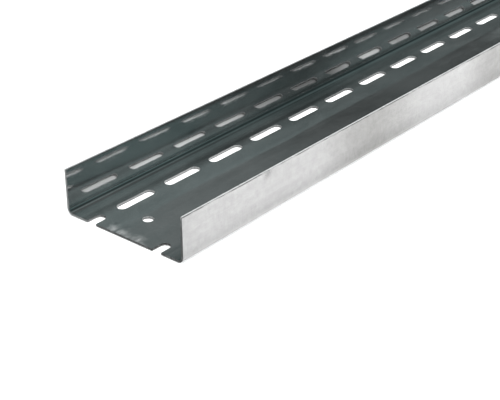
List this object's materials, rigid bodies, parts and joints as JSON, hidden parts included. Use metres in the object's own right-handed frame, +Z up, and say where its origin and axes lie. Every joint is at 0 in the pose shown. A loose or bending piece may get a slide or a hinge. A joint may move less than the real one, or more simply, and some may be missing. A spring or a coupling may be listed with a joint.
{
  "type": "metal reinforcing profile",
  "caption": "Long channel bent from thick galvanised steel sheet, its web punched with two rows of slots, used as a stiffening post beside openings in stud walls.",
  "frame": {"origin": "middle of the length and of the web's width, on the web's underside, which is the face the profile lies on", "axes": "+X along the profile's length, +Y across the web, +Z up the flanges"},
  "size_m": [4, 0.125, 0.04],
  "materials": {
    "galvanised_steel": "bright hot-dip zinc coating, satin, with faint streaks along the rolling direction and bare cut edges"
  },
  "bodies": {
    "root": {"reinforcing_profile": "galvanised_steel"}
  },
  "joints": []
}
